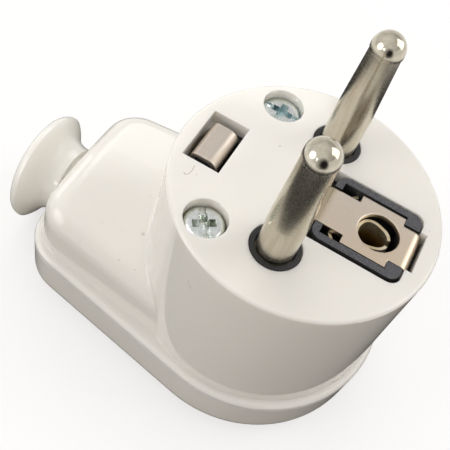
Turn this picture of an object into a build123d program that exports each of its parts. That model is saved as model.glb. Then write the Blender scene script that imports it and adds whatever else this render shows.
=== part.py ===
from build123d import *
from math import cos, radians, sin, tan
import os

# Angled mains plug, rewirable: two round pins, an earth strap and a side cable entry with a bell mouth.
# +Z is the way the pins point, the cable leaves along -X, and the pins stand on the Y axis.
# The origin lies on the flat back, under the middle of the round pin face. Lengths are millimetres.

# Housing
face_height = 34.7  # flat back to pin face
face_radius = 17.65
body_draft = 0.9  # degrees, the round body widens towards the flange
rim_round = 0.45
wall = 2.0
face_wall = 2.2
parting_height = 9.0  # flat back to the joint between the two shells
flange_overhang = 1.1  # the flange stands out this far past the foot of the round body
flange_height = 1.1
flange_round = 0.75
parting_bevel = 0.12  # small bevel on each side of the joint, which draws the parting line
flange_angle = 10.2  # degrees, each side closes in towards the cable
flange_corner = 6.8
back_round = 3.5
lip_height = 1.6  # the front shell's lip inside the rear cover
shell_gap = 0.1

# Cable arm on the front shell
arm_height = 19.0  # flat back to the top of the arm
arm_inset = 1.15  # the sides touch a circle this far inside the foot of the round body
arm_angle = 8.0
arm_reach = 32.7  # axis of the round body to the end of the arm
end_ledge = 0.7  # the flange past the end of the arm
arm_corner = 6.0
arm_draft = 5.0
arm_crown = 60.0  # radius of the crowned top
arm_shoulder = 3.6
arm_blend = 0.7  # fillet against the round body
foot_share = 0.4  # fillet against the flange, as a share of that blend
arm_roof = 3.2  # top of the arm to the cord passage

# Screws that join the shells
cover_screw_turn = 128.3  # degrees from +X
cover_screw_inset = 1.77  # screw axis inside the chamber wall
cover_boss_radius = 3.6
cover_screw_radius = 1.5
cover_head_radius = 2.62
cover_head_height = 2.0
cover_head_depth = 1.1  # top of the head below the pin face
cover_screw_bite = 5.0  # length of screw in the rear cover
screw_gap = 0.15
drive_width = 0.8
drive_depth = 1.0
drive_turns = (-54.0, -2.0)  # degrees from +X to each slot, the screw at -Y first

# Contact pins
pin_pitch = 19.0
pin_radius = 2.4
pin_neck_radius = 1.95  # relief groove in the collar's recess
pin_length = 19.0  # pin face to tip
pin_straight = 6.0  # stretch of full radius past the pin face
pin_tip_radius = 2.07  # domed tip
pin_tip_land = 0.35  # short straight band under the dome
pin_tip_lip = 0.12  # the band stands out this far past the end of the taper
barrel_radius = 3.6  # screw terminal on the inner end
barrel_top = 5.0  # shoulder below the pin face
barrel_length = 12.0
core_hole_radius = 1.6
core_hole_drop = 8.0  # hole for the wire below the shoulder
terminal_screw_radius = 1.5
terminal_head_radius = 2.6
terminal_head_height = 1.8
terminal_slot = 0.7

# Contact carrier
carrier_thickness = 6.5
carrier_gap = 0.15
pin_gap = 0.05
collar_radius = 3.17
collar_hole_gap = 0.12
collar_recess_radius = 2.55
collar_recess = 0.6
ledge_depth = 0.5
ledge_height = 1.2
ledge_width = 6.0
ledge_turn = 50.0  # degrees from +X to each snap ledge

# Earth window, frame and strap
window_gap_left = 0.6  # between the strap's left leg and the window
window_gap_right = 0.2  # between the frame and the window
window_gap_side = 0.42
window_shift = 0.25  # the window lies this far off its frame, towards -Y
window_corner = 1.5
frame_left = 2.5
frame_half = 5.4
frame_corner = 1.4
frame_wall = 1.0
frame_drop = 0.15  # top of the frame below the pin face
frame_bar = 2.0  # right bar of the frame
frame_set = 0.75  # right bar inside the outer face of the strap's right leg
pocket_floor = 1.0  # carrier left under the pocket
strip = 0.7  # sheet thickness of the strap
bend_radius = 0.5  # inside of each fold
plate_drop = 0.3  # top of the plate below the pin face
plate_step_left = 6.2
plate_half = 4.15
strap_half = 2.95
run_half = 3.4
strap_inset = 0.6  # outer face of the right leg inside the chamber wall
strap_left = 1.5  # outer face of the left leg
right_leg = 8.0
strap_gap = 0.2
notch_gap = 0.35  # between the right leg and the end of its notch
earth_x = 9.9
earth_hole_radius = 2.75

# Earth clip in the other window
clip_inset = 0.65  # outer face of the clip inside the chamber wall
clip_width = 3.9
clip_half = 3.05
clip_window_gap = 0.6  # between the clip's legs and the window
clip_window_side = 1.25  # between the clip's ends and the window
clip_drop = 0.35  # top of the clip below the pin face
clip_leg = 6.0
clip_left_bend = 0.2  # inside of the fold next to the chamber wall
clip_right_bend = 0.9

# Earth sleeve
sleeve_radius = 2.45  # bore for an earth pin
sleeve_sheet = 0.45
sleeve_drop = 0.2  # top of the sleeve below the plate
sleeve_length = 13.0
sleeve_slit = 1.1
sleeve_slit_turn = -8.0  # degrees from +X
sleeve_base = 0.5
back_leaf_radius = 6.0

# Earth terminal
earth_screw_x = -4.8
earth_screw_radius = 1.5
earth_head_radius = 2.9
earth_head_height = 2.0
earth_screw_reach = 5.0
washer_side = 6.4
washer_thickness = 1.0

# Cable sleeve and its inlet
inlet_radius = 4.7
inlet_gap = 0.1
sleeve_flange_radius = 5.9
sleeve_flange = 1.5
cable_radius = 3.9
neck_radius = 5.5
neck_length = 1.6  # straight bore past the shells
flare_hold = 3.2  # length over which the flare leaves the neck's direction
flare_rise = 1.5  # the flare meets the rim at 45 degrees
mouth_radius = 8.75
mouth_length = 6.0  # bell mouth past the shells
mouth_lip = 1.4

# Cord clamp in the arm
clamp_x = -22.5
clamp_y = 8.2
clamp_width = 6.0
clamp_thickness = 2.2
clamp_post_radius = 2.7
clamp_post_drop = 1.6  # end of the posts below the parting plane
clamp_screw_radius = 1.4
clamp_head_radius = 2.5
clamp_head_height = 1.6
clamp_screw_bite = 5.0
saddle_width = 3.0

# Heights and radii that follow from the driving sizes
body_foot_radius = face_radius + (face_height - parting_height) * tan(radians(body_draft))
cavity_radius = face_radius - wall
flange_radius = body_foot_radius + flange_overhang
flange_reach = arm_reach + end_ledge
arm_radius = body_foot_radius - arm_inset
foot_blend = foot_share * arm_blend
mouth_reach = flange_reach + mouth_length
cavity_top = face_height - face_wall
carrier_bottom = cavity_top - carrier_thickness
strap_right = cavity_radius - strap_inset
notch_right = strap_right + notch_gap
frame_right = strap_right - frame_set
pocket_left = frame_left + frame_wall
pocket_right = frame_right - frame_bar
window_left = strap_left - window_gap_left
window_right = frame_right + window_gap_right
window_half = frame_half + window_gap_side
clip_left = clip_inset - cavity_radius
clip_right = clip_left + clip_width
clip_window_left = clip_left - clip_window_gap
clip_window_right = clip_right + clip_window_gap
clip_window_half = clip_half + clip_window_side
plate_top = face_height - plate_drop
pocket_bottom = carrier_bottom + pocket_floor
run_top = carrier_bottom - pin_gap
pin_y = pin_pitch / 2
barrel_end = face_height - barrel_top - barrel_length
cover_screw_ring = cavity_radius - cover_screw_inset
cover_screw_x = cover_screw_ring * cos(radians(cover_screw_turn))
cover_screw_y = cover_screw_ring * sin(radians(cover_screw_turn))
cover_head_top = face_height - cover_head_depth
cover_head_seat = cover_head_top - cover_head_height
clamp_seat = parting_height - clamp_post_drop
both_sides = (-1, 1)
high = (Align.CENTER, Align.CENTER, Align.MIN)


def rod(radius, x, y, low, top):
    """Upright round bar between two heights."""
    return Pos(x, y, low) * Cylinder(radius, top - low, align=high)


def block(left, right, half, low, top):
    """Upright block, the same on both sides of the X axis."""
    return Pos((left + right) / 2, 0, low) * Box(right - left, 2 * half, top - low, align=high)


def plan(radius, reach, angle, corner):
    """Round outline drawn out to a blunt end at -X by two straight sides that close in."""
    touch_x = -radius * sin(radians(angle))
    touch_y = radius * cos(radians(angle))
    end_y = touch_y - (reach + touch_x) * tan(radians(angle))
    outline = [
        ThreePointArc((touch_x, -touch_y), (radius, 0), (touch_x, touch_y)),
        Line((touch_x, touch_y), (-reach, end_y)),
        Line((-reach, end_y), (-reach, -end_y)),
        Line((-reach, -end_y), (touch_x, -touch_y)),
    ]
    face = make_face(outline)
    return fillet(face.vertices().group_by(Axis.X)[0], corner)


def flange_plan(inset):
    """Outline of the flange and the rear cover, drawn in by an inset."""
    return plan(flange_radius - inset, flange_reach - inset, flange_angle, flange_corner - inset)


def rounded_block(left, right, half, corner, low, top):
    """Upright block with rounded upright edges."""
    outline = RectangleRounded(right - left, 2 * half, corner)
    return extrude(Pos((left + right) / 2, 0, low) * outline, top - low)


def arm_block():
    """Crowned cable arm with drafted sides and a soft shoulder, from the parting plane up."""
    foot = Pos(0, 0, parting_height) * plan(arm_radius, arm_reach, arm_angle, arm_corner)
    block_height = arm_height - parting_height + rim_round
    sides = extrude(foot, block_height, taper=arm_draft)
    crown = Pos(0, 0, arm_height - arm_crown) * Rot(0, 90, 0) * Cylinder(arm_crown, 4 * arm_reach)
    arm = sides & crown
    top_face = arm.faces().sort_by(Axis.Z)[-1]
    return fillet(top_face.edges(), arm_shoulder)


def round_body():
    """Drafted round body under the pin face."""
    height = face_height - parting_height
    body = Pos(0, 0, parting_height) * Cone(body_foot_radius, face_radius, height, align=high)
    return fillet(body.edges().group_by(Axis.Z)[-1], rim_round)


def inlet(radius, left, right):
    """Bar along the cable axis, which lies in the parting plane."""
    middle = (left + right) / 2
    return Pos(middle, 0, parting_height) * Rot(0, 90, 0) * Cylinder(radius, right - left)


def front_cavity():
    """Space inside the front shell, open at the parting plane."""
    low = parting_height - lip_height
    chamber = rod(cavity_radius, 0, 0, low, cavity_top)
    outline = plan(arm_radius - wall, arm_reach - wall, arm_angle, arm_corner - wall)
    passage = extrude(Pos(0, 0, low) * outline, arm_height - arm_roof - low)
    return chamber + passage


def face_openings():
    """Holes and windows through the pin face."""
    low = cavity_top
    window = rounded_block(window_left, window_right, window_half, window_corner, low, face_height)
    cut = Pos(0, -window_shift, 0) * window
    cut += block(window_right - frame_corner, notch_right, strap_half + strap_gap, low, face_height)
    cut += block(clip_window_left, clip_window_right, clip_window_half, low, face_height)
    for side in both_sides:
        cut += rod(collar_radius + collar_hole_gap, 0, side * pin_y, low, face_height)
    return cut


def front_housing():
    """White front shell: pin face, round body, cable arm, flange and the lip inside the cover."""
    body = round_body()
    arm = arm_block()
    upper = body + arm
    upper = fillet(new_edges(body, arm, combined=upper), arm_blend)
    flange = extrude(Pos(0, 0, parting_height) * flange_plan(0), flange_height)
    flange = fillet(flange.edges().group_by(Axis.Z)[-1], flange_round)
    shell = upper + flange
    shell = fillet(new_edges(upper, flange, combined=shell), foot_blend)
    shell = chamfer(shell.edges().group_by(Axis.Z)[0], parting_bevel)
    lip = extrude(Pos(0, 0, parting_height) * flange_plan(wall + shell_gap), -lip_height)
    for side in both_sides:
        lip -= rod(cover_boss_radius + shell_gap, cover_screw_x, side * cover_screw_y, 0, parting_height)
    shell = shell + lip - front_cavity() - face_openings()
    shell += saddle()
    for side in both_sides:
        shell += rod(clamp_post_radius, clamp_x, side * clamp_y, clamp_seat, arm_height - arm_roof)
        shell -= rod(clamp_screw_radius, clamp_x, side * clamp_y, clamp_seat, clamp_seat + clamp_screw_bite)
        y = side * cover_screw_y
        shell += rod(cover_boss_radius, cover_screw_x, y, parting_height, cavity_top)
        shell -= rod(cover_screw_radius + screw_gap, cover_screw_x, y, parting_height, face_height)
        shell -= rod(cover_head_radius + screw_gap, cover_screw_x, y, cover_head_seat, face_height)
        shell += snap_ledge(side)
    return shell - inlet(inlet_radius + inlet_gap, -flange_reach, clamp_x - clamp_width)


def snap_ledge(side):
    """Small ledge on the chamber wall, which the carrier snaps past."""
    top = run_top
    low = top - ledge_height
    ring = rod(cavity_radius + wall / 2, 0, 0, low, top) - rod(cavity_radius - ledge_depth, 0, 0, low, top)
    sector = Pos(cavity_radius, 0, low) * Box(wall + 2 * ledge_depth, ledge_width, ledge_height, align=high)
    return ring & (Rot(0, 0, side * ledge_turn) * sector)


def saddle():
    """Rib under the roof of the arm, hollowed for the cord."""
    half = clamp_y + clamp_post_radius
    left = clamp_x - saddle_width / 2
    rib = block(left, left + saddle_width, half, parting_height, arm_height - wall)
    return rib - inlet(cable_radius, left, left + saddle_width)


def rear_cover():
    """White tray that closes the back, with two bosses for the long screws."""
    tray = extrude(flange_plan(0), parting_height)
    tray = fillet(tray.edges().group_by(Axis.Z)[0], back_round)
    tray = chamfer(tray.edges().group_by(Axis.Z)[-1], parting_bevel)
    tray -= extrude(Pos(0, 0, wall) * flange_plan(wall), parting_height - wall)
    for side in both_sides:
        y = side * cover_screw_y
        tray += rod(cover_boss_radius, cover_screw_x, y, wall, parting_height)
        tray -= rod(cover_screw_radius, cover_screw_x, y, parting_height - cover_screw_bite, parting_height)
    return tray - inlet(inlet_radius + inlet_gap, -flange_reach, clamp_x - clamp_width)


def strap_profile():
    """Folded strip seen from the side: right leg, plate, left leg, run under the carrier, clip."""
    half = strip / 2
    plate_z = plate_top - half
    clip_z = face_height - clip_drop - half
    run_z = run_top - half
    corners = [
        (strap_right - half, plate_z - right_leg),
        (strap_right - half, plate_z),
        (strap_left + half, plate_z),
        (strap_left + half, run_z),
        (clip_right - half, run_z),
        (clip_right - half, clip_z),
        (clip_left + half, clip_z),
        (clip_left + half, clip_z - clip_leg),
    ]
    bends = [bend_radius] * 4 + [clip_right_bend, clip_left_bend]
    path = FilletPolyline(*corners, radius=[bend + half for bend in bends])
    return Plane.XZ * trace(path, strip)


def earth_strap():
    """One folded strip: pierced plate, side legs, terminal run and clip."""
    strap = extrude(strap_profile(), plate_half, both=True)
    side_cuts = (
        (pocket_right, notch_right, strap_half, 0, face_height),
        (strap_left - strip, plate_step_left, strap_half, run_top, face_height),
        (clip_right, plate_step_left, run_half, 0, run_top),
        (clip_left, clip_right + bend_radius, clip_half, 0, face_height),
    )
    for left, right, half, low, top in side_cuts:
        waste = block(left, right, plate_half, low, top)
        strap -= waste - block(left, right, half, low, top)
    strap -= rod(earth_hole_radius, earth_x, 0, carrier_bottom, face_height)
    return strap - rod(earth_screw_radius, earth_screw_x, 0, 0, carrier_bottom)


def contact_carrier():
    """Dark moulded insert: disc under the pin face, pin collars, earth frame and clip core."""
    disc = rod(cavity_radius - carrier_gap, 0, 0, carrier_bottom, cavity_top)
    frame_top = face_height - frame_drop
    frame = rounded_block(frame_left, frame_right, frame_half, frame_corner, carrier_bottom, frame_top)
    body = disc + frame
    core_top = face_height - clip_drop - strip - pin_gap
    core_left = clip_left + strip + pin_gap
    core_right = clip_right - strip - pin_gap
    core = block(core_left, core_right, clip_half, carrier_bottom, core_top)
    core_edges = core.edges().filter_by(Axis.Y).group_by(Axis.Z)[-1].sort_by(Axis.X)
    core = fillet(core_edges[-1:], clip_right_bend)
    core_edges = core.edges().filter_by(Axis.Y).group_by(Axis.Z)[-1].sort_by(Axis.X)
    body += fillet(core_edges[:1], clip_left_bend)
    for side in both_sides:
        body += rod(collar_radius, 0, side * pin_y, carrier_bottom, face_height)
    for side in both_sides:
        y = side * pin_y
        body -= rod(pin_radius + pin_gap, 0, y, carrier_bottom, face_height)
        body -= rod(collar_recess_radius, 0, y, face_height - collar_recess, face_height)
        body -= rod(barrel_radius + pin_gap, 0, y, carrier_bottom, face_height - barrel_top)
        boss_room = cover_boss_radius + carrier_gap
        body -= rod(boss_room, cover_screw_x, side * cover_screw_y, carrier_bottom, cavity_top)
    body -= block(pocket_left, pocket_right, frame_half - frame_wall, pocket_bottom, frame_top)
    body -= rod(sleeve_radius + sleeve_sheet + pin_gap, earth_x, 0, carrier_bottom, frame_top)
    earth_bore_top = run_top + earth_screw_reach
    body -= rod(earth_screw_radius + screw_gap, earth_screw_x, 0, carrier_bottom, earth_bore_top)
    return body - strap_room()


def strap_room():
    """Slots in the carrier that the strap passes through."""
    slot_half = strap_half + strap_gap
    under_plate = plate_top - strip - pin_gap
    room = block(frame_left, pocket_left, slot_half, under_plate, face_height)
    room += block(pocket_right, notch_right, slot_half, under_plate, face_height)
    right_face = strap_right - strip - bend_radius
    room += block(right_face, notch_right + wall, slot_half, carrier_bottom, face_height)
    left_face = strap_left + strip + bend_radius
    room += block(strap_left - bend_radius, left_face, slot_half, carrier_bottom, face_height)
    clip_room = clip_half + strap_gap
    inner = clip_right - strip - pin_gap
    room += block(inner, clip_right + bend_radius, clip_room, carrier_bottom, cavity_top)
    outer = clip_left + strip + pin_gap
    room += block(clip_left - wall, outer, clip_room, carrier_bottom, cavity_top)
    return room


def contact_pin(side):
    """Turned pin: domed tip, gentle taper, shoulder and a pierced screw terminal."""
    tip = face_height + pin_length
    dome_foot = tip - pin_tip_radius
    shoulder = face_height - barrel_top
    outline = [
        Line((0, barrel_end), (barrel_radius, barrel_end)),
        Line((barrel_radius, barrel_end), (barrel_radius, shoulder)),
        Polyline(
            (barrel_radius, shoulder),
            (pin_radius, shoulder),
            (pin_radius, face_height - collar_recess),
            (pin_neck_radius, face_height - collar_recess),
            (pin_neck_radius, face_height),
            (pin_radius, face_height),
            (pin_radius, face_height + pin_straight),
            (pin_tip_radius - pin_tip_lip, dome_foot - pin_tip_land),
            (pin_tip_radius, dome_foot - pin_tip_land),
            (pin_tip_radius, dome_foot),
        ),
        RadiusArc((pin_tip_radius, dome_foot), (0, tip), -pin_tip_radius),
        Line((0, tip), (0, barrel_end)),
    ]
    pin = revolve(make_face(Plane.XZ * Curve(children=outline)), Axis.Z)
    hole_z = shoulder - core_hole_drop
    pin -= Pos(0, 0, hole_z) * Rot(0, 90, 0) * Cylinder(core_hole_radius, 3 * barrel_radius)
    pin -= rod(terminal_screw_radius, 0, 0, barrel_end, hole_z)
    return Pos(0, side * pin_y, 0) * pin


def headed_screw(shank_radius, shank, head_radius, head_height, slot):
    """Screw with its head below and its shank pointing up from the origin, slotted underneath."""
    screw = rod(shank_radius, 0, 0, 0, shank) + rod(head_radius, 0, 0, -head_height, 0)
    return screw - Pos(0, 0, -head_height) * Box(2 * head_radius, slot, head_height, align=high)


def terminal_screws():
    """Two screws that clamp the wires in the pins."""
    shank = barrel_length - core_hole_drop
    head = (terminal_head_radius, terminal_head_height, terminal_slot)
    screw = headed_screw(terminal_screw_radius, shank, *head)
    return [Pos(0, side * pin_y, barrel_end) * screw for side in both_sides]


def earth_sleeve():
    """Rolled sleeve with a slit, standing on a base plate in the carrier's pocket, with a back leaf."""
    top = plate_top - strip - sleeve_drop
    outer = sleeve_radius + sleeve_sheet
    tube = rod(outer, earth_x, 0, top - sleeve_length, top)
    base_half = frame_half - frame_wall - strap_gap
    base_top = pocket_bottom + sleeve_base
    base = block(pocket_left + strap_gap, pocket_right - strap_gap, base_half, pocket_bottom, base_top)
    leaf_ring = rod(back_leaf_radius, earth_x, 0, pocket_bottom, top)
    leaf_ring -= rod(back_leaf_radius - sleeve_sheet, earth_x, 0, pocket_bottom, top)
    leaf = leaf_ring & block(pocket_left + strap_gap, plate_step_left, base_half, pocket_bottom, top)
    slit = Box(2 * outer, sleeve_slit, sleeve_length, align=(Align.MIN, Align.CENTER, Align.MIN))
    body = tube + base + leaf - rod(sleeve_radius, earth_x, 0, top - sleeve_length, top)
    return body - Pos(earth_x, 0, base_top) * Rot(0, 0, sleeve_slit_turn) * slit


def earth_washer():
    """Square clamp washer under the head of the earth screw."""
    top = run_top - strip
    plate = block(earth_screw_x - washer_side / 2, earth_screw_x + washer_side / 2, washer_side / 2,
                  top - washer_thickness, top)
    return plate - rod(earth_screw_radius + screw_gap, earth_screw_x, 0, top - washer_thickness, top)


def earth_screw():
    """Screw that clamps the earth wire against the strap."""
    seat = run_top - strip - washer_thickness
    shank = strip + washer_thickness + earth_screw_reach - screw_gap
    screw = headed_screw(earth_screw_radius, shank, earth_head_radius, earth_head_height, terminal_slot)
    return Pos(earth_screw_x, 0, seat) * screw


def cover_screws():
    """Two long screws with a combined slot and cross, sunk in the pin face."""
    low = parting_height - cover_screw_bite + screw_gap
    screws = []
    for side, turn in zip(both_sides, drive_turns):
        y = side * cover_screw_y
        screw = rod(cover_screw_radius, cover_screw_x, y, low, cover_head_seat)
        screw += rod(cover_head_radius, cover_screw_x, y, cover_head_seat, cover_head_top)
        drive = Box(2 * cover_head_radius, drive_width, drive_depth)
        drive += Box(drive_width, cover_head_radius, drive_depth)
        drive_place = Pos(cover_screw_x, y, cover_head_top - drive_depth / 2) * Rot(0, 0, turn)
        screws.append(screw - drive_place * drive)
    return screws


def cord_clamp():
    """Clamp bar across the cord, hollowed on the cord's side."""
    half = clamp_y + clamp_post_radius
    left = clamp_x - clamp_width / 2
    bar = block(left, left + clamp_width, half, clamp_seat - clamp_thickness, clamp_seat)
    bar -= inlet(cable_radius - screw_gap, left, left + clamp_width)
    for side in both_sides:
        hole = clamp_screw_radius + screw_gap
        bar -= rod(hole, clamp_x, side * clamp_y, clamp_seat - clamp_thickness, clamp_seat)
    return bar


def clamp_screws():
    """Two screws that pull the clamp bar against the posts."""
    shank = clamp_thickness + clamp_screw_bite - screw_gap
    screw = headed_screw(clamp_screw_radius, shank, clamp_head_radius, clamp_head_height, terminal_slot)
    seat = clamp_seat - clamp_thickness
    return [Pos(clamp_x, side * clamp_y, seat) * screw for side in both_sides]


def cable_sleeve():
    """Soft bell-mouth sleeve, held by a groove in the end walls of both shells."""
    inner = -(arm_reach - wall) + inlet_gap
    flange_end = inner + sleeve_flange
    groove_end = -flange_reach - inlet_gap
    end = -mouth_reach
    rim = end + mouth_lip
    throat = groove_end - neck_length
    outline = [
        Polyline(
            (throat, cable_radius),
            (flange_end, cable_radius),
            (flange_end, sleeve_flange_radius),
            (inner, sleeve_flange_radius),
            (inner, inlet_radius),
            (groove_end, inlet_radius),
            (groove_end, neck_radius),
        ),
        Bezier(
            (groove_end, neck_radius),
            (groove_end - flare_hold, neck_radius),
            (rim + flare_rise, mouth_radius - flare_rise),
            (rim, mouth_radius),
        ),
        RadiusArc((rim, mouth_radius), (end, mouth_radius - mouth_lip), -mouth_lip),
        Bezier((end, mouth_radius - mouth_lip), (end, cable_radius), (throat, cable_radius)),
    ]
    profile = make_face(Plane.XZ * Curve(children=outline))
    return Pos(0, 0, parting_height) * revolve(profile, Axis.X)


nodes = {
    "front_housing": [front_housing()],
    "rear_cover": [rear_cover()],
    "contact_carrier": [contact_carrier()],
    "live_pin": [contact_pin(-1)],
    "neutral_pin": [contact_pin(1)],
    "terminal_screws": terminal_screws(),
    "earth_strap": [earth_strap()],
    "earth_sleeve": [earth_sleeve()],
    "earth_washer": [earth_washer()],
    "earth_screw": [earth_screw()],
    "cover_screws": cover_screws(),
    "cord_clamp": [cord_clamp()],
    "clamp_screws": clamp_screws(),
    "cable_sleeve": [cable_sleeve()],
}

os.makedirs("parts", exist_ok=True)
for name, pieces in nodes.items():
    solids = [solid for piece in pieces for solid in piece.solids()]
    export_step(Compound(children=solids), f"parts/{name}.step")
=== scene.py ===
"""An angled mains plug with two round pins and an earth socket, standing on its flat back.

Metres, in the part's own frame: the pins point up +Z, the cable inlet opens towards -X.
"""

import math

import bmesh
import bpy
from mathutils import Euler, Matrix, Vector


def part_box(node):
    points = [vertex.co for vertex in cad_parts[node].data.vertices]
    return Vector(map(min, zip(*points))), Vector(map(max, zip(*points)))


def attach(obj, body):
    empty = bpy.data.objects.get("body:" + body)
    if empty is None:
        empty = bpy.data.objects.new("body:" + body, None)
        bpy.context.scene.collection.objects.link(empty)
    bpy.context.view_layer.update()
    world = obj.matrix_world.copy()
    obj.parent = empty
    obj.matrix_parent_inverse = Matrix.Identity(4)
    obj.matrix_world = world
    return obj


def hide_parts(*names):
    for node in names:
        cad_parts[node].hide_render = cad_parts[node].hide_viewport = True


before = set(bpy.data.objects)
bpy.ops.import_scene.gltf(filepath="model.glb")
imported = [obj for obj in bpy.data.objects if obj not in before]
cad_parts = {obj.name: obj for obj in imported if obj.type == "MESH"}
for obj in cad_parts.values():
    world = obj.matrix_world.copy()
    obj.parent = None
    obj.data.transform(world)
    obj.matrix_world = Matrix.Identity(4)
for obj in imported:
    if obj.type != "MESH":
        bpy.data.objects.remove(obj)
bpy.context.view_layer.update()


# Contact carrier
# The inner block that holds every contact, one moulding in dark grey polyamide with mineral filler.
# It is pushed up into the shell, so its two collars and the frame of the earth window show in the face.
# The hidden bar that clamps the cord is moulded in the same polyamide.
MM = 0.001
carrier_grey = "#4E4E53"
carrier_dark = "#3B3B40"
carrier_fleck = "#77777B"
# Painted shade: gaps and pockets go to near black, and the collars are darkened.
gap_shade_black = "#070707"
filler_grain = 0.13 * MM
filler_relief = 0.02 * MM
gap_shade_reach = 2.5 * MM
gap_shade_contrast = 1.6
collar_shade = 0.34
collar_from = 6.9 * MM
collar_fade = 0.3 * MM
carrier_edge = 0.12 * MM


def linear(code):
    """An sRGB hex colour as the linear colour that shaders take."""
    parts = [int(code[place : place + 2], 16) / 255 for place in (1, 3, 5)]
    curve = [part / 12.92 if part <= 0.04045 else ((part + 0.055) / 1.055) ** 2.4 for part in parts]
    return curve + [1.0]


def add_node(tree, kind, inputs=(), **settings):
    """Adds a node, sets its properties, and sets or links inputs given as (name or place, value)."""
    added = tree.nodes.new(kind)
    for name, value in settings.items():
        setattr(added, name, value)
    for name, value in inputs:
        if isinstance(value, bpy.types.NodeSocket):
            tree.links.new(value, added.inputs[name])
        else:
            added.inputs[name].default_value = value
    return added


def new_finish(name):
    """An empty material, with its node tree and the surface socket of its output."""
    finish = bpy.data.materials.new(name)
    finish.use_nodes = True
    finish.node_tree.nodes.clear()
    output = finish.node_tree.nodes.new("ShaderNodeOutputMaterial")
    return finish, finish.node_tree, output.inputs["Surface"]


def wear(finish, *nodes):
    """Gives CAD nodes a finish."""
    for node in nodes:
        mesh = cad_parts[node].data
        mesh.materials.clear()
        mesh.materials.append(finish)


# Mineral-filled polyamide is matt, and the filler shows as fine pale and dark grains.
# Its narrow gaps and pockets look black from painted shade: the colour falls off where walls stand close
# together.
# The two collars round the pins are painted darker than the frame, as painted shade.
polyamide, tree, surface = new_finish("moulded_filled_polyamide")
place = add_node(tree, "ShaderNodeTexCoord").outputs["Object"]
grain = add_node(tree, "ShaderNodeTexNoise", [("Vector", place), ("Scale", 1 / filler_grain)])
tone = add_node(tree, "ShaderNodeValToRGB", [("Fac", grain.outputs["Fac"])])
tone.color_ramp.elements[0].position = 0.38
tone.color_ramp.elements[0].color = linear(carrier_dark)
tone.color_ramp.elements[1].position = 0.68
tone.color_ramp.elements[1].color = linear(carrier_fleck)
tone.color_ramp.elements.new(0.5).color = linear(carrier_grey)
# Painted shade: darker where walls stand close, and darker again on the collars.
painted_shade_probe = add_node(tree, "ShaderNodeAmbientOcclusion", [("Distance", gap_shade_reach)], samples=12)
painted_shade_level = add_node(
    tree, "ShaderNodeMath", [(0, painted_shade_probe.outputs["AO"]), (1, gap_shade_contrast)], operation="POWER"
)
sideways = add_node(tree, "ShaderNodeSeparateXYZ", [("Vector", place)]).outputs["Y"]
from_middle = add_node(tree, "ShaderNodeMath", [(0, sideways)], operation="ABSOLUTE")
shade = add_node(
    tree,
    "ShaderNodeMapRange",
    [
        ("Value", from_middle.outputs[0]),
        ("From Min", collar_from - collar_fade),
        ("From Max", collar_from),
        ("To Min", 1.0),
        ("To Max", collar_shade),
    ],
)
painted_shade_level = add_node(
    tree, "ShaderNodeMath", [(0, painted_shade_level.outputs[0]), (1, shade.outputs[0])], operation="MULTIPLY"
)
colour = add_node(
    tree,
    "ShaderNodeMix",
    [("Factor", painted_shade_level.outputs[0]), ("A", linear(gap_shade_black)), ("B", tone.outputs["Color"])],
    data_type="RGBA",
)
edge = add_node(tree, "ShaderNodeBevel", [("Radius", carrier_edge)], samples=6)
relief = add_node(
    tree,
    "ShaderNodeBump",
    [
        ("Strength", 0.2),
        ("Distance", filler_relief),
        ("Height", grain.outputs["Fac"]),
        ("Normal", edge.outputs[0]),
    ],
)
shader = add_node(
    tree,
    "ShaderNodeBsdfPrincipled",
    [
        ("Base Color", colour.outputs["Result"]),
        ("Roughness", 0.48),
        ("IOR", 1.53),
        ("Normal", relief.outputs[0]),
    ],
)
tree.links.new(shader.outputs[0], surface)
wear(polyamide, "contact_carrier", "cord_clamp")


# Live and neutral pins
# Turned brass bars, nickel plated, with a polished dome and band on each tip.
# They are pressed into the carrier from behind, and each ends in a screw terminal.
nickel = "#D3CCBC"
nickel_dull = "#C3BBA8"
polished_length = 2.07 * MM
polish_fade = 1.1 * MM
polish_rough = 0.12
satin_rough = (0.23, 0.29)
pit_spacing = 0.10 * MM
pit_relief = 0.01 * MM
streak_width = 0.6 * MM
streak_length = 7.5 * MM
pin_edge = 0.08 * MM

# Nickel over turned brass is a warm grey with a satin sheen and faint streaks along the pin.
# Its pits are drawn coarser than they are, so that they show, and the polished tip mirrors the lamps.
band_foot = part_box("live_pin")[1].z - polished_length
nickel_plate, tree, surface = new_finish("nickel_plated_turned_brass")
place = add_node(tree, "ShaderNodeTexCoord").outputs["Object"]
height = add_node(tree, "ShaderNodeSeparateXYZ", [("Vector", place)]).outputs["Z"]
polish = add_node(
    tree,
    "ShaderNodeMapRange",
    [("Value", height), ("From Min", band_foot), ("From Max", band_foot + polish_fade)],
)
pits = add_node(tree, "ShaderNodeTexNoise", [("Vector", place), ("Scale", 1 / pit_spacing)])
stretch = add_node(
    tree,
    "ShaderNodeMapping",
    [("Vector", place), ("Scale", (1.0, 1.0, streak_width / streak_length))],
)
streaks = add_node(
    tree, "ShaderNodeTexNoise", [("Vector", stretch.outputs[0]), ("Scale", 1 / streak_width)]
)
satin = add_node(
    tree,
    "ShaderNodeMapRange",
    [
        ("Value", pits.outputs["Fac"]),
        ("From Min", 0.3),
        ("From Max", 0.7),
        ("To Min", satin_rough[0]),
        ("To Max", satin_rough[1]),
    ],
)
rough = add_node(
    tree, "ShaderNodeMix", [("Factor", polish.outputs[0]), ("A", satin.outputs[0]), ("B", polish_rough)]
)
colour = add_node(tree, "ShaderNodeValToRGB", [("Fac", streaks.outputs["Fac"])])
colour.color_ramp.elements[0].position = 0.3
colour.color_ramp.elements[0].color = linear(nickel_dull)
colour.color_ramp.elements[1].position = 0.65
colour.color_ramp.elements[1].color = linear(nickel)
edge = add_node(tree, "ShaderNodeBevel", [("Radius", pin_edge)], samples=6)
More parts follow.
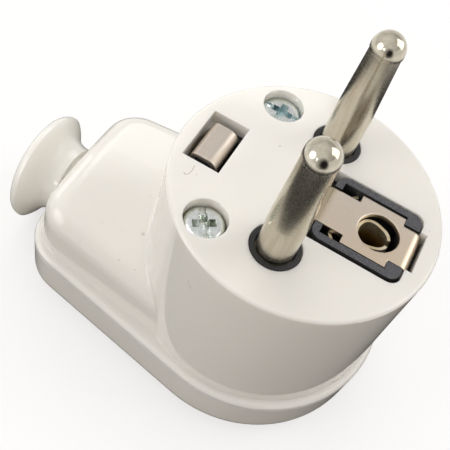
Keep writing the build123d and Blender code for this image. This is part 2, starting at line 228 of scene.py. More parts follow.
satin_share = add_node(tree, "ShaderNodeMath", [(0, 1.0), (1, polish.outputs[0])], operation="SUBTRACT")
pit_depth = add_node(
    tree, "ShaderNodeMath", [(0, pits.outputs["Fac"]), (1, satin_share.outputs[0])], operation="MULTIPLY"
)
relief = add_node(
    tree,
    "ShaderNodeBump",
    [
        ("Strength", 0.10),
        ("Distance", pit_relief),
        ("Height", pit_depth.outputs[0]),
        ("Normal", edge.outputs[0]),
    ],
)
shader = add_node(
    tree,
    "ShaderNodeBsdfPrincipled",
    [
        ("Base Color", colour.outputs[0]),
        ("Metallic", 1.0),
        ("Roughness", rough.outputs[0]),
        ("Normal", relief.outputs[0]),
    ],
)
tree.links.new(shader.outputs[0], surface)
wear(nickel_plate, "live_pin", "neutral_pin")


# Earth strap
# A strip of springy brass, nickel plated, folded into the flat contact plate and the side clip.
# It lies in the carrier under the face, and an earth screw holds its hidden run.
strip_nickel = "#EBDFD3"
strip_dull = "#E2D6C9"
# The next two colours are painted shade and a painted reflection at the fold.
strip_shade_dark = "#3E3622"
strip_fold_reflection = "#A0946F"
strip_tan = "#DCC19A"
rolling_grain = 0.10 * MM
grain_relief = 0.01 * MM
grain_stretch = 0.15
tan_towards = (0.5, -0.85, 0.0)
tan_reach = 8.0 * MM
tan_share = 0.42
fold_x = 1.8 * MM
fold_reach = 1.7 * MM
fold_reflection_share = 0.8
strip_shade_reach = 1.6 * MM
strip_edge = 0.26 * MM

# Plated strip is pale, with a satin bloom from its rolled grain, drawn coarser than it is so that it shows.
# It turns tan towards the near corner, has a painted olive reflection at the fold, and is painted dark as
# shade where other surfaces stand close.
spring_strip, tree, surface = new_finish("nickel_plated_rolled_strip")
place = add_node(tree, "ShaderNodeTexCoord").outputs["Object"]
stretch = add_node(tree, "ShaderNodeMapping", [("Vector", place), ("Scale", (1.0, grain_stretch, 1.0))])
lines = add_node(
    tree, "ShaderNodeTexNoise", [("Vector", stretch.outputs[0]), ("Scale", 1 / rolling_grain)]
)
colour = add_node(tree, "ShaderNodeValToRGB", [("Fac", lines.outputs["Fac"])])
colour.color_ramp.elements[0].position = 0.3
colour.color_ramp.elements[0].color = linear(strip_dull)
colour.color_ramp.elements[1].position = 0.7
colour.color_ramp.elements[1].color = linear(strip_nickel)
slant = add_node(tree, "ShaderNodeVectorMath", [(0, place), (1, tan_towards)], operation="DOT_PRODUCT")
warm = add_node(
    tree,
    "ShaderNodeMapRange",
    [("Value", slant.outputs["Value"]), ("From Max", tan_reach), ("To Max", tan_share)],
)
colour = add_node(
    tree,
    "ShaderNodeMix",
    [("Factor", warm.outputs[0]), ("A", colour.outputs[0]), ("B", linear(strip_tan))],
    data_type="RGBA",
)
# Painted reflection: the strip goes olive and darker round the fold.
along = add_node(tree, "ShaderNodeSeparateXYZ", [("Vector", place)]).outputs["X"]
from_fold = add_node(tree, "ShaderNodeMath", [(0, along), (1, fold_x)], operation="SUBTRACT")
from_fold = add_node(tree, "ShaderNodeMath", [(0, from_fold.outputs[0])], operation="ABSOLUTE")
stain_and_shade = add_node(
    tree,
    "ShaderNodeMapRange",
    [
        ("Value", from_fold.outputs[0]),
        ("From Max", fold_reach),
        ("To Min", fold_reflection_share),
        ("To Max", 0.0),
    ],
    interpolation_type="SMOOTHSTEP",
)
colour = add_node(
    tree,
    "ShaderNodeMix",
    [("Factor", stain_and_shade.outputs[0]), ("A", colour.outputs["Result"]), ("B", linear(strip_fold_reflection))],
    data_type="RGBA",
)
# Painted shade: the strip goes dark where other surfaces stand close over it.
painted_shade_probe = add_node(tree, "ShaderNodeAmbientOcclusion", [("Distance", strip_shade_reach)], samples=12)
unshaded_share = add_node(
    tree, "ShaderNodeMapRange", [("Value", painted_shade_probe.outputs["AO"]), ("From Min", 0.12), ("From Max", 0.55)]
)
shaded_strip = add_node(
    tree,
    "ShaderNodeMix",
    [("Factor", unshaded_share.outputs[0]), ("A", linear(strip_shade_dark)), ("B", colour.outputs["Result"])],
    data_type="RGBA",
)
edge = add_node(tree, "ShaderNodeBevel", [("Radius", strip_edge)], samples=10)
relief = add_node(
    tree,
    "ShaderNodeBump",
    [
        ("Strength", 0.08),
        ("Distance", grain_relief),
        ("Height", lines.outputs["Fac"]),
        ("Normal", edge.outputs[0]),
    ],
)
shader = add_node(
    tree,
    "ShaderNodeBsdfPrincipled",
    [
        ("Base Color", shaded_strip.outputs["Result"]),
        ("Metallic", 1.0),
        ("Roughness", 0.33),
        ("Normal", relief.outputs[0]),
    ],
)
tree.links.new(shader.outputs[0], surface)
wear(spring_strip, "earth_strap")


# Earth sleeve
# A rolled brass tube whose free ends spring inwards, on a base plate with a curved leaf behind it.
# It stands in the carrier's pocket under the hole of the contact plate and grips the socket's earth pin.
sleeve_brass = "#EBE0C6"
sleeve_dull = "#CDBB90"
# The gold and deep colours are painted shade down the bore.
sleeve_unshaded = "#FFFFFF"
sleeve_shade_gold = "#DDB870"
sleeve_shade_deep = "#2A2416"
shade_start_depth = 0.8 * MM
shade_full_depth = 5.5 * MM
brass_cloud = 1.5 * MM
brass_edge = 0.1 * MM
sleeve_axis_x = 9.9 * MM
sleeve_middle_radius = 2.72 * MM
sleeve_sheet = 0.40 * MM
slit_opening = 32.0
curl_hold = 55.0
curl_reach = 135.0
curl = 0.85 * MM
curl_depth = 6.0 * MM
base_drop = 6.5 * MM
base_left = 3.7 * MM
base_right = 12.1 * MM
base_half_y = 4.2 * MM
base_hole = 2.92 * MM
leaf_radius = 5.78 * MM
leaf_sweep = 92.0
sheet_levels = 12
tube_steps = 60
leaf_steps = 24
base_steps = 40
sleeve_sharp = 40.0

sleeve_low, sleeve_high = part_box("earth_sleeve")
sleeve_mesh = bpy.data.meshes.new("rolled_earth_sleeve")
form = bmesh.new()
axis_place = Vector((sleeve_axis_x, 0.0, 0.0))


def bent_sheet(radius, low, top, first_turn, sweep, steps):
    """A thin upright sheet bent round the sleeve's axis, as the vertices that it added."""
    reach = Vector((math.cos(math.radians(first_turn)), math.sin(math.radians(first_turn)), 0.0)) * radius
    known = set(form.verts)
    levels = [low + (top - low) * step / sheet_levels for step in range(sheet_levels + 1)]
    rise = [form.verts.new(axis_place + reach + Vector((0.0, 0.0, level))) for level in levels]
    lines = [form.edges.new(pair) for pair in zip(rise, rise[1:])]
    bmesh.ops.spin(
        form, geom=rise + lines, axis=(0, 0, 1), cent=axis_place, steps=steps, angle=math.radians(sweep)
    )
    return [vert for vert in form.verts if vert not in known]


tube_start = slit_opening / 2
tube_turn = 360.0 - slit_opening
tube = bent_sheet(sleeve_middle_radius, sleeve_low.z, sleeve_high.z, tube_start, tube_turn, tube_steps)
for vert in tube:
    arm = vert.co - axis_place
    turn = (math.degrees(math.atan2(arm.y, arm.x)) - tube_start) % 360.0
    from_end = min(turn, tube_turn - turn)
    fade = min(1.0, max(0.0, (from_end - curl_hold) / (curl_reach - curl_hold)))
    depth_fade = max(0.0, 1.0 - (sleeve_high.z - vert.co.z) / curl_depth)
    inwards = Vector((-arm.x, -arm.y, 0.0)).normalized()
    vert.co += inwards * curl * depth_fade * (0.5 + 0.5 * math.cos(math.pi * fade))
leaf_low = sleeve_high.z - base_drop
bent_sheet(leaf_radius, leaf_low, sleeve_high.z, 180.0 - leaf_sweep / 2, leaf_sweep, leaf_steps)
base_middle = Vector(((base_left + base_right) / 2, 0.0, leaf_low))
base_half_x = (base_right - base_left) / 2
hole_ring = []
base_ring = []
for step in range(base_steps):
    turn = math.tau * step / base_steps
    reach = Vector((math.cos(turn), math.sin(turn), 0.0))
    hole_ring.append(form.verts.new(axis_place + reach * base_hole + Vector((0.0, 0.0, leaf_low))))
    square = max(abs(reach.x), abs(reach.y))
    corner = Vector((reach.x / square * base_half_x, reach.y / square * base_half_y, 0.0))
    base_ring.append(form.verts.new(base_middle + corner))
loops = []
for ring in (hole_ring, base_ring):
    loops.extend(form.edges.new((ring[step], ring[step - 1])) for step in range(base_steps))
bmesh.ops.bridge_loops(form, edges=loops)
bmesh.ops.recalc_face_normals(form, faces=form.faces)
bmesh.ops.solidify(form, geom=form.faces[:], thickness=sleeve_sheet)
form.to_mesh(sleeve_mesh)
form.free()
sleeve_mesh.shade_smooth()
sleeve_mesh.set_sharp_from_angle(angle=math.radians(sleeve_sharp))
sleeve = bpy.data.objects.new("rolled_earth_sleeve", sleeve_mesh)
bpy.context.scene.collection.objects.link(sleeve)
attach(sleeve, "root")
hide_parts("earth_sleeve")

# Rolled brass sheet is pale and a little cloudy at the top.
# Down the bore it is painted gold and then dark brown, as painted shade that deepens down the tube.
brass, tree, surface = new_finish("rolled_brass_sheet")
place = add_node(tree, "ShaderNodeTexCoord").outputs["Object"]
cloud = add_node(
    tree, "ShaderNodeTexNoise", [("Vector", place), ("Scale", 1 / brass_cloud), ("Detail", 4.0)]
)
colour = add_node(tree, "ShaderNodeValToRGB", [("Fac", cloud.outputs["Fac"])])
colour.color_ramp.elements[0].position = 0.3
colour.color_ramp.elements[0].color = linear(sleeve_dull)
colour.color_ramp.elements[1].position = 0.65
colour.color_ramp.elements[1].color = linear(sleeve_brass)
# Painted shade: gold and then dark brown further down the bore.
height = add_node(tree, "ShaderNodeSeparateXYZ", [("Vector", place)]).outputs["Z"]
painted_shade_level = add_node(
    tree,
    "ShaderNodeMapRange",
    [("Value", height), ("From Min", sleeve_high.z - shade_start_depth), ("From Max", sleeve_high.z - shade_full_depth)],
)
bore_shade = add_node(tree, "ShaderNodeValToRGB", [("Fac", painted_shade_level.outputs[0])])
bore_shade.color_ramp.elements[0].color = linear(sleeve_unshaded)
bore_shade.color_ramp.elements[1].color = linear(sleeve_shade_deep)
bore_shade.color_ramp.elements.new(0.4).color = linear(sleeve_shade_gold)
colour = add_node(
    tree,
    "ShaderNodeMix",
    [("Factor", 1.0), ("A", colour.outputs[0]), ("B", bore_shade.outputs[0])],
    data_type="RGBA",
    blend_type="MULTIPLY",
)
edge = add_node(tree, "ShaderNodeBevel", [("Radius", brass_edge)], samples=6)
shader = add_node(
    tree,
    "ShaderNodeBsdfPrincipled",
    [
        ("Base Color", colour.outputs["Result"]),
        ("Metallic", 0.75),
        ("Roughness", 0.3),
        ("Normal", edge.outputs[0]),
    ],
)
tree.links.new(shader.outputs[0], surface)
sleeve_mesh.materials.append(brass)


# Screws and the clamping washer
# Plain steel, cold headed and rolled, then zinc plated and passivated blue.
# The two long ones that join the shells show in the face: a soft-edged head with a slot and a cross.
# The others, and the earth terminal's washer, are hidden and keep their CAD shapes.
zinc_pale = "#ECEFEF"
zinc_green = "#DCE2DF"
# Painted shade and reflection in the drive: olive in the near screw, blue in the far one.
drive_shade_near = "#A2A78C"
drive_shade_far = "#9DC4CC"
drive_shade_reach = 0.9 * MM
zinc_bloom = 0.5 * MM
zinc_grain = 0.12 * MM
zinc_relief = 0.01 * MM
zinc_edge = 0.1 * MM
head_radius = 2.62 * MM
head_height = 2.0 * MM
head_round = 0.5 * MM
head_sides = 72
round_wide = 0.8 * MM
round_steps = 6
slot_half = 0.42 * MM
slot_depth = 0.5 * MM
slot_margin = 0.01 * MM
wing_half = 0.52 * MM
wing_reach = 1.45 * MM
wing_depth = 0.9 * MM
wing_taper = 0.72
shank_radius = 1.5 * MM
thread_root = 1.25 * MM
thread_pitch = 0.8 * MM
thread_turns = 12
root_at = 0.45
crest_at = 0.85
merge_gap = 0.0005 * MM
screw_sharp = 32.0
drive_turns = (-54.0, -2.0)

screws_low, screws_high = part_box("cover_screws")
blank = bpy.data.meshes.new("screw_blank")
form = bmesh.new()
flat_radius = head_radius - round_wide
bmesh.ops.create_circle(form, cap_ends=True, segments=head_sides, radius=flat_radius)
for normal, offsets in (
    ((1, 0, 0), (wing_half, wing_reach)),
    ((0, 1, 0), (slot_half, wing_half, wing_reach)),
):
    for offset in offsets:
        for side in (-1, 1):
            geometry = form.verts[:] + form.edges[:] + form.faces[:]
            spot = Vector(normal) * offset * side
            bmesh.ops.bisect_plane(form, geom=geometry, plane_co=spot, plane_no=normal)


def in_cross(spot):
    """Whether a place on the head lies in one of the four wings of the cross."""
    across = min(abs(spot.x), abs(spot.y))
    along = max(abs(spot.x), abs(spot.y))
    return across < wing_half and along < wing_reach


def sink(faces, painted_shade_level, taper):
    """Presses faces into the head, drawn in at the bottom."""
    pressed = bmesh.ops.extrude_face_region(form, geom=faces)["geom"]
    verts = [item for item in pressed if isinstance(item, bmesh.types.BMVert)]
    bmesh.ops.delete(form, geom=[face for face in faces if face.is_valid], context="FACES_ONLY")
    bmesh.ops.translate(form, verts=verts, vec=(0.0, 0.0, -painted_shade_level))
    bmesh.ops.scale(form, verts=verts, vec=(taper, taper, 1.0))
    return [item for item in pressed if isinstance(item, bmesh.types.BMFace)]


rim = [line for line in form.edges if len(line.link_faces) == 1]
cells = form.faces[:]
slot_cells = [face for face in cells if abs(face.calc_center_median().y) < slot_half]
cross_cells = [face for face in cells if in_cross(face.calc_center_median()) and face not in slot_cells]
slot_floor = sink(slot_cells + cross_cells, slot_depth, 1.0)
sink([face for face in slot_floor if in_cross(face.calc_center_median())], wing_depth, wing_taper)
profile = []
for step in range(1, round_steps + 1):
    turn = step / round_steps * math.pi / 2
    profile.append((flat_radius + round_wide * math.sin(turn), head_round * (math.cos(turn) - 1)))
shank_end = screws_low.z - screws_high.z
profile.append((head_radius, -head_height))
profile.append((shank_radius, -head_height))
profile.append((shank_radius, shank_end + thread_turns * thread_pitch))
for turn in range(thread_turns, 0, -1):
    profile.append((thread_root, shank_end + (turn - root_at) * thread_pitch))
    profile.append((shank_radius, shank_end + (turn - crest_at) * thread_pitch))
profile.append((thread_root, shank_end))
# The outline is drawn down the profile ring by ring, and the slot is kept open through the rounded rim.
for vert in {vert for line in rim for vert in line.verts if abs(vert.co.y) < slot_half - slot_margin}:
    vert.co.z = -slot_depth
ring = rim
for radius, height in profile:
    drawn = bmesh.ops.extrude_edge_only(form, edges=ring)["geom"]
    ring = [item for item in drawn if isinstance(item, bmesh.types.BMEdge)]
    for vert in {vert for line in ring for vert in line.verts}:
        reach = Vector((vert.co.x, vert.co.y)).normalized() * radius
        slotted = abs(reach.y) < slot_half * radius / flat_radius - slot_margin
        vert.co = (reach.x, reach.y, min(height, -slot_depth) if slotted else height)
bmesh.ops.contextual_create(form, geom=ring)
bmesh.ops.remove_doubles(form, verts=form.verts, dist=merge_gap)
bmesh.ops.recalc_face_normals(form, faces=form.faces)
form.to_mesh(blank)
form.free()

screw_mesh = bpy.data.meshes.new("slotted_cover_screws")
form = bmesh.new()
for side, turn in zip((-1, 1), drive_turns):
    first = len(form.verts)
    form.from_mesh(blank)
    form.verts.ensure_lookup_table()
    verts = form.verts[first:]
    spin = Euler((0.0, 0.0, math.radians(turn))).to_matrix()
    bmesh.ops.rotate(form, verts=verts, cent=(0, 0, 0), matrix=spin)
    seat = Vector((screws_low.x + head_radius, side * (screws_high.y - head_radius), screws_high.z))
    bmesh.ops.translate(form, verts=verts, vec=seat)
form.to_mesh(screw_mesh)
form.free()
bpy.data.meshes.remove(blank)
screw_mesh.shade_smooth()
screw_mesh.set_sharp_from_angle(angle=math.radians(screw_sharp))
screws = bpy.data.objects.new("slotted_cover_screws", screw_mesh)
bpy.context.scene.collection.objects.link(screws)
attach(screws, "root")
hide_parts("cover_screws")

# Blue-passivated zinc is a cold, bright grey with greenish patches and a fine grain, drawn coarse to show.
# In the drive it is painted with shade and reflection: olive in the near screw and blue in the far one.
zinc, tree, surface = new_finish("zinc_plated_steel")
place = add_node(tree, "ShaderNodeTexCoord").outputs["Object"]
bloom = add_node(
    tree, "ShaderNodeTexNoise", [("Vector", place), ("Scale", 1 / zinc_bloom), ("Detail", 3.0)]
)
grain = add_node(tree, "ShaderNodeTexNoise", [("Vector", place), ("Scale", 1 / zinc_grain)])
colour = add_node(tree, "ShaderNodeValToRGB", [("Fac", bloom.outputs["Fac"])])
colour.color_ramp.elements[0].position = 0.35
colour.color_ramp.elements[0].color = linear(zinc_green)
colour.color_ramp.elements[1].position = 0.6
colour.color_ramp.elements[1].color = linear(zinc_pale)
# Painted shade and reflection: the drive goes olive in the near screw and blue in the far one.
across = add_node(tree, "ShaderNodeSeparateXYZ", [("Vector", place)]).outputs["Y"]
far_side = add_node(tree, "ShaderNodeMath", [(0, across), (1, 0.0)], operation="GREATER_THAN")
drive_shade_tint = add_node(
    tree,
    "ShaderNodeMix",
    [("Factor", far_side.outputs[0]), ("A", linear(drive_shade_near)), ("B", linear(drive_shade_far))],
    data_type="RGBA",
)
painted_shade_probe = add_node(tree, "ShaderNodeAmbientOcclusion", [("Distance", drive_shade_reach)], samples=12)
unshaded_zinc = add_node(
    tree, "ShaderNodeMapRange", [("Value", painted_shade_probe.outputs["AO"]), ("From Min", 0.15), ("From Max", 0.75)]
)
drive_shaded = add_node(
    tree,
    "ShaderNodeMix",
    [("Factor", unshaded_zinc.outputs[0]), ("A", drive_shade_tint.outputs["Result"]), ("B", colour.outputs[0])],
    data_type="RGBA",
)
edge = add_node(tree, "ShaderNodeBevel", [("Radius", zinc_edge)], samples=6)
relief = add_node(
    tree,
    "ShaderNodeBump",
    [
        ("Strength", 0.2),
        ("Distance", zinc_relief),
        ("Height", grain.outputs["Fac"]),
        ("Normal", edge.outputs[0]),
    ],
)
shader = add_node(
    tree,
    "ShaderNodeBsdfPrincipled",
    [
        ("Base Color", drive_shaded.outputs["Result"]),
        ("Metallic", 1.0),
        ("Roughness", 0.17),
        ("Normal", relief.outputs[0]),
    ],
)
tree.links.new(shader.outputs[0], surface)
wear(zinc, "terminal_screws", "earth_screw", "earth_washer", "clamp_screws")
screw_mesh.materials.append(zinc)


# Cable sleeve
# A soft bell mouth that keeps the cord from kinking, moulded in white plasticised PVC.
# Its groove is caught between the end walls of the two shells.
pvc_white = "#ECEAE4"
pvc_scatter = 1.3 * MM
skin_ripple = 1.2 * MM
skin_relief = 0.05 * MM

# Soft PVC is a waxy white: smooth, faintly rippled, and light goes a little way into it.
soft_pvc, tree, surface = new_finish("moulded_soft_pvc")
place = add_node(tree, "ShaderNodeTexCoord").outputs["Object"]
skin = add_node(tree, "ShaderNodeTexNoise", [("Vector", place), ("Scale", 1 / skin_ripple)])
relief = add_node(
    tree, "ShaderNodeBump", [("Strength", 0.06), ("Distance", skin_relief), ("Height", skin.outputs["Fac"])]
)
shader = add_node(
    tree,
    "ShaderNodeBsdfPrincipled",
    [
        ("Base Color", linear(pvc_white)),
        ("Roughness", 0.14),
        ("IOR", 1.53),
        ("Subsurface Weight", 0.7),
        ("Subsurface Radius", (1.0, 1.0, 1.0)),
        ("Subsurface Scale", pvc_scatter),
        ("Normal", relief.outputs[0]),
    ],
)
tree.links.new(shader.outputs[0], surface)
wear(soft_pvc, "cable_sleeve")


# Front housing and rear cover
# Two shells in white ABS, injection moulded in polished steel tools.
# The cover closes the back, and two long screws sunk in the face draw the shells together.
shell_white = "#ECE9E3"
shell_scatter = 1.3 * MM
shell_edge = 0.15 * MM
peel_width = 0.9 * MM
peel_relief = 0.05 * MM
dust_dark = "#8A7E6C"
dust_spacing = 4.5 * MM
dust_strength = 0.5
speck_core = 0.081 * MM
speck_rim = 0.144 * MM
mark_core = 0.4
mark_rim = 1.2
# Each mark runs from one place to another in millimetres, with its half width and its strength.
marks = (
    ((-13.41, -5.08, 34.7), (-13.31, -5.83, 34.7), 0.045, 0.75),
    ((-13.31, -5.83, 34.7), (-13.39, -6.54, 34.7), 0.045, 0.75),
    ((-13.39, -6.54, 34.7), (-13.66, -6.93, 34.7), 0.045, 0.75),
    ((-13.66, -6.93, 34.7), (-13.99, -6.77, 34.7), 0.05, 0.8),
    ((-12.58, -6.12, 34.7), (-12.55, -6.10, 34.7), 0.09, 0.4),
    ((-6.95, -16.31, 29.55), (-6.80, -16.37, 29.15), 0.055, 0.5),
    ((-6.80, -16.37, 29.15), (-6.35, -16.55, 29.00), 0.055, 0.5),
    ((-6.35, -16.55, 29.00), (-6.30, -16.57, 28.60), 0.055, 0.5),
    ((-19.76, -1.71, 19.0), (-18.83, -1.87, 19.0), 0.05, 0.3),
    ((-17.14, -7.50, 18.5), (-17.12, -7.50, 18.5), 0.30, 0.32),
    ((-17.86, -12.32, 17.5), (-17.82, -12.32, 17.5), 0.14, 0.35),
    ((-15.25, -12.43, 17.6), (-15.22, -12.43, 17.6), 0.13, 0.25),
    ((-24.09, -12.57, 16.6), (-23.90, -12.50, 16.6), 0.12, 0.15),
    ((-22.74, -9.14, 18.3), (-22.72, -9.14, 18.3), 0.12, 0.15),
    ((-19.91, -8.75, 18.4), (-19.89, -8.75, 18.4), 0.12, 0.15),
)

# Gloss ABS has a sharp sheen over a faint orange peel, and light spreads a little under its skin.
# Fine dust lies all over it, with a few hairs and small stains on the face, the body and the arm.
abs_white, tree, surface = new_finish("moulded_gloss_abs")
place = add_node(tree, "ShaderNodeTexCoord").outputs["Object"]
peel = add_node(tree, "ShaderNodeTexNoise", [("Vector", place), ("Scale", 1 / peel_width)])
dust = add_node(tree, "ShaderNodeTexVoronoi", [("Vector", place), ("Scale", 1 / dust_spacing)])
speck = add_node(
    tree,
    "ShaderNodeMapRange",
    [
        ("Value", dust.outputs["Distance"]),
        ("From Min", speck_core / dust_spacing),
        ("From Max", speck_rim / dust_spacing),
        ("To Min", dust_strength),
        ("To Max", 0.0),
    ],
)
soil = speck.outputs[0]
for start, end, half_width, strength in marks:
    start = Vector(start) * MM
    run = Vector(end) * MM - start
    reach = add_node(tree, "ShaderNodeVectorMath", [(0, place), (1, start)], operation="SUBTRACT")
    along = add_node(
        tree,
        "ShaderNodeVectorMath",
        [(0, reach.outputs[0]), (1, run / run.length_squared)],
        operation="DOT_PRODUCT",
    )
    share = add_node(tree, "ShaderNodeClamp", [("Value", along.outputs["Value"])])
    foot = add_node(
        tree, "ShaderNodeVectorMath", [(0, run), ("Scale", share.outputs[0])], operation="SCALE"
    )
    gap = add_node(
        tree, "ShaderNodeVectorMath", [(0, reach.outputs[0]), (1, foot.outputs[0])], operation="DISTANCE"
    )
    stain_and_shade = add_node(
        tree,
        "ShaderNodeMapRange",
        [
            ("Value", gap.outputs["Value"]),
            ("From Min", mark_core * half_width * MM),
            ("From Max", mark_rim * half_width * MM),
            ("To Min", strength),
            ("To Max", 0.0),
        ],
    )
    soiled = add_node(tree, "ShaderNodeMath", [(0, soil), (1, stain_and_shade.outputs[0])], operation="MAXIMUM")
    soil = soiled.outputs[0]
colour = add_node(
    tree,
    "ShaderNodeMix",
    [("Factor", soil), ("A", linear(shell_white)), ("B", linear(dust_dark))],
    data_type="RGBA",
)
edge = add_node(tree, "ShaderNodeBevel", [("Radius", shell_edge)], samples=6)
relief = add_node(
    tree,
    "ShaderNodeBump",
    [
        ("Strength", 0.05),
        ("Distance", peel_relief),
        ("Height", peel.outputs["Fac"]),
        ("Normal", edge.outputs[0]),
    ],
)
shader = add_node(
    tree,
    "ShaderNodeBsdfPrincipled",
    [
        ("Base Color", colour.outputs["Result"]),
        ("Roughness", 0.07),
        ("IOR", 1.54),
        ("Subsurface Weight", 0.7),
        ("Subsurface Radius", (1.0, 0.95, 0.85)),
        ("Subsurface Scale", shell_scatter),
        ("Normal", relief.outputs[0]),
    ],
)
tree.links.new(shader.outputs[0], surface)
wear(abs_white, "front_housing", "rear_cover")


# Floor and backdrop
# One sweep of white paper: a flat disc under the plug that curves up into a low wall all round.
# The eye and the metal see it white, and it throws less light back up on the shells than it shows.
floor_white = "#FBFAF8"
floor_bounce = "#ACABA8"
glow_share = 0.6
sweep_radius = 0.9
sweep_bend = 0.3
sweep_wall = 0.2
sweep_steps = 96
bend_steps = 12
seam_gap = 0.1 * MM

mesh = bpy.data.meshes.new("sweep")
form = bmesh.new()
profile = [form.verts.new((0.0, 0.0, 0.0)), form.verts.new((sweep_radius - sweep_bend, 0.0, 0.0))]
for step in range(1, bend_steps + 1):
    turn = step / bend_steps * math.pi / 2
    x = sweep_radius - sweep_bend + sweep_bend * math.sin(turn)
    profile.append(form.verts.new((x, 0.0, sweep_bend * (1 - math.cos(turn)))))
profile.append(form.verts.new((sweep_radius, 0.0, sweep_bend + sweep_wall)))
edges = [form.edges.new(pair) for pair in zip(profile, profile[1:])]
bmesh.ops.spin(
    form,
    geom=profile + edges,
    axis=(0, 0, 1),
    cent=(0, 0, 0),
    steps=sweep_steps,
    angle=math.tau,
    use_merge=True,
)
bmesh.ops.remove_doubles(form, verts=form.verts, dist=seam_gap)
bmesh.ops.recalc_face_normals(form, faces=form.faces)
form.to_mesh(mesh)
form.free()
mesh.shade_smooth()
sweep = bpy.data.objects.new("sweep", mesh)
bpy.context.scene.collection.objects.link(sweep)

# Matt paper looks plain white, and part of that is a glow that only the eye and mirrors see.
# The rest is lit by the lamps, so the plug's shadow stays on it.
paper, tree, surface = new_finish("white_paper")
ray = add_node(tree, "ShaderNodeLightPath").outputs
seen = add_node(
    tree, "ShaderNodeMath", [(0, ray["Is Camera Ray"]), (1, ray["Is Glossy Ray"])], operation="MAXIMUM"
)
seen = add_node(
    tree, "ShaderNodeMath", [(0, seen.outputs[0]), (1, ray["Is Transmission Ray"])], operation="MAXIMUM"
)
colour = add_node(
    tree,
    "ShaderNodeMix",
    [("Factor", seen.outputs[0]), ("A", linear(floor_bounce)), ("B", linear(floor_white))],
    data_type="RGBA",
)
shader = add_node(
    tree,
    "ShaderNodeBsdfPrincipled",
    [("Base Color", colour.outputs["Result"]), ("Roughness", 0.9), ("IOR", 1.3)],
)
glow = add_node(tree, "ShaderNodeEmission", [("Strength", 1.0)])
share = add_node(tree, "ShaderNodeMath", [(0, seen.outputs[0]), (1, glow_share)], operation="MULTIPLY")
shader = add_node(
    tree, "ShaderNodeMixShader", [("Fac", share.outputs[0]), (1, shader.outputs[0]), (2, glow.outputs[0])]
)
tree.links.new(shader.outputs[0], surface)
mesh.materials.append(paper)


# Light
# A window behind to the left that dims towards its top, soft panels at the left, behind to the right
# and low in front, and three round lamps: one at the left, one in front and one above the screws.
scene = bpy.context.scene
middle = Vector((-0.005, 0.0, 0.025))
light_tint = (1.0, 0.992, 0.972)
front_tint = (1.0, 0.80, 0.74)
# Each lamp has its bearing from +X and its height in degrees, its distance, width, height and brightness.
lamps = {
    "window": (122, 37, 0.60, 0.44, 0.22, 2.5),
    "window_upper": (122, 50, 0.60, 0.44, 0.05, 1.5),
    "window_top": (122, 55, 0.60, 0.44, 0.05, 0.7),
    "panel_left": (165, 13, 0.60, 0.34, 0.22, 1.8),
    "panel_right": (32, 38, 0.50, 0.34, 0.40, 1.7),
    "lamp_left": (218, 19, 0.50, 0.33, 0.33, 2.6),
    "lamp_screws": (170, 66, 0.50, 0.18, 0.12, 9.0),
    "lamp_front": (252, 24, 0.50, 0.06, 0.06, 11.0),
    "panel_front": (300, 20, 0.50, 0.40, 0.40, 0.50),
}
for name, (bearing, height, distance, wide, tall, brightness) in lamps.items():
    lamp = bpy.data.lights.new(name, "AREA")
    lamp.shape = "ELLIPSE" if name.startswith("lamp") else "RECTANGLE"
    lamp.size = wide
    lamp.size_y = tall
    lamp.energy = brightness * math.pi * wide * tall * (math.pi / 4 if lamp.shape == "ELLIPSE" else 1.0)
    lamp.color = front_tint if name == "panel_front" else light_tint
    holder = bpy.data.objects.new(name, lamp)
    turn = Euler((0.0, -math.radians(height), math.radians(bearing))).to_matrix()
    towards = turn @ Vector((1.0, 0.0, 0.0))
    holder.location = middle + towards * distance
    holder.rotation_euler = towards.to_track_quat("Z", "Y").to_euler()
    holder.visible_camera = False
    scene.collection.objects.link(holder)

# The window and the left and front panels light the white mouldings and the floor, not the metal.
# The front lamp lights all but the two shells, and the screws have a lamp of their own.
shells = [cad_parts["front_housing"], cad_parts["rear_cover"]]
others = [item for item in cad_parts.values() if item not in shells]
lit_sides = {
    "window_side": (
        ("window", "window_upper", "window_top", "panel_left", "panel_front"),
        [*shells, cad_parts["cable_sleeve"], sweep],
    ),
    "metal_side": (("lamp_front",), [*others, sleeve, screws, sweep]),
    "screw_side": (("lamp_screws",), [screws]),
}
for side, (names, items) in lit_sides.items():
    lit = bpy.data.collections.new(side)
    for item in items:
        lit.objects.link(item)
    for name in names:
        bpy.data.objects[name].light_linking.receiver_collection = lit


# Room
# The walls and ceiling round the table, as a smooth fill with no edges.
# It is brightest overhead to the left and falls off towards the lower right.
room_tint = (1.0, 0.988, 0.970)
room_towards = (-0.62, -0.40, 0.68)
room_dim = 0.28
room_bright = 0.90

room = bpy.data.worlds.new("room")
room.use_nodes = True
room.node_tree.nodes.clear()
tree = room.node_tree
direction = add_node(tree, "ShaderNodeTexCoord").outputs["Generated"]
facing = add_node(
    tree, "ShaderNodeVectorMath", [(0, direction), (1, room_towards)], operation="DOT_PRODUCT"
)
level = add_node(
    tree,
    "ShaderNodeMapRange",
    [
        ("Value", facing.outputs["Value"]),
        ("From Min", -0.7),
        ("From Max", 1.0),
        ("To Min", room_dim),
        ("To Max", room_bright),
    ],
)
sky = add_node(tree, "ShaderNodeBackground", [("Color", (*room_tint, 1.0)), ("Strength", level.outputs[0])])
tree.links.new(sky.outputs[0], add_node(tree, "ShaderNodeOutputWorld").inputs["Surface"])
scene.world = room


# Black card
# A flat ring of matt black paper that lies on the floor round the foot of the plug.
# Only mirrors see it, so that the metal and the gloss of the shells have something dark below them.
card_black = "#161616"
card_inner = 0.012
card_outer = 0.085
card_lift = 0.0004
card_steps = 64
card_middle = Vector((-5.0 * MM, 0.0, 0.0))

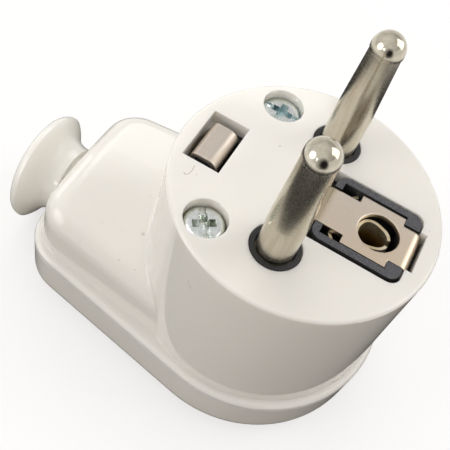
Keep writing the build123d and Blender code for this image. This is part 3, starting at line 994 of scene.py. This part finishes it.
mesh = bpy.data.meshes.new("black_card")
form = bmesh.new()
edge = [
    form.verts.new(card_middle + Vector((radius, 0.0, card_lift))) for radius in (card_inner, card_outer)
]
bmesh.ops.spin(
    form,
    geom=edge + [form.edges.new(edge)],
    axis=(0, 0, 1),
    cent=card_middle,
    steps=card_steps,
    angle=math.tau,
    use_merge=True,
)
form.to_mesh(mesh)
form.free()
card = bpy.data.objects.new("black_card", mesh)
card.visible_camera = False
card.visible_diffuse = False
card.visible_shadow = False
scene.collection.objects.link(card)
black_paper, tree, surface = new_finish("black_paper")
shader = add_node(tree, "ShaderNodeBsdfDiffuse", [("Color", linear(card_black))])
tree.links.new(shader.outputs[0], surface)
mesh.materials.append(black_paper)


# Dark plate
# An upright board covered in dark felt, in front of the plug to the right, that thins out to its rim.
# Only mirrors see it, and it gives the pins and the polished tips their dark side.
felt_dark = "#2E2C2C"
felt_solid = 0.4
plate_half_wide = 0.105
plate_half_tall = 0.125
plate_middle = Vector((0.070, -0.125, 0.075))

mesh = bpy.data.meshes.new("dark_plate")
form = bmesh.new()
for x, z in ((-1, -1), (1, -1), (1, 1), (-1, 1)):
    form.verts.new(plate_middle + Vector((x * plate_half_wide, 0.0, z * plate_half_tall)))
form.faces.new(form.verts)
form.to_mesh(mesh)
form.free()
plate = bpy.data.objects.new("dark_plate", mesh)
plate.visible_camera = False
plate.visible_diffuse = False
plate.visible_shadow = False
scene.collection.objects.link(plate)
dark_felt, tree, surface = new_finish("dark_felt")
place = add_node(tree, "ShaderNodeTexCoord").outputs["Object"]
reach = add_node(tree, "ShaderNodeVectorMath", [(0, place), (1, plate_middle)], operation="SUBTRACT")
spread = (1 / plate_half_wide, 0.0, 1 / plate_half_tall)
reach = add_node(tree, "ShaderNodeVectorMath", [(0, reach.outputs[0]), (1, spread)], operation="MULTIPLY")
gap = add_node(tree, "ShaderNodeVectorMath", [(0, reach.outputs[0])], operation="LENGTH")
thin = add_node(tree, "ShaderNodeMapRange", [("Value", gap.outputs["Value"]), ("From Min", felt_solid)])
clear = add_node(tree, "ShaderNodeBsdfTransparent")
felt = add_node(tree, "ShaderNodeBsdfDiffuse", [("Color", linear(felt_dark))])
shader = add_node(
    tree, "ShaderNodeMixShader", [("Fac", thin.outputs[0]), (1, felt.outputs[0]), (2, clear.outputs[0])]
)
tree.links.new(shader.outputs[0], surface)
mesh.materials.append(dark_felt)


# Camera
# Close above the pins and rolled a little.
# Its place, turn and lens are worked out from where the pins stand in the photograph.
camera_place = Vector((2.24, -57.03, 102.92)) * MM
camera_turn = (32.924, -11.893, 28.063)
camera_lens = 57.394
camera_sensor = 36.0
camera_nearest = 5.0 * MM

camera_data = bpy.data.cameras.new("camera")
camera_data.sensor_width = camera_sensor
camera_data.lens = camera_lens
camera_data.clip_start = camera_nearest
camera = bpy.data.objects.new("camera", camera_data)
camera.location = camera_place
camera.rotation_euler = Euler([math.radians(angle) for angle in camera_turn])
scene.collection.objects.link(camera)
scene.camera = camera
scene.view_settings.view_transform = "Standard"
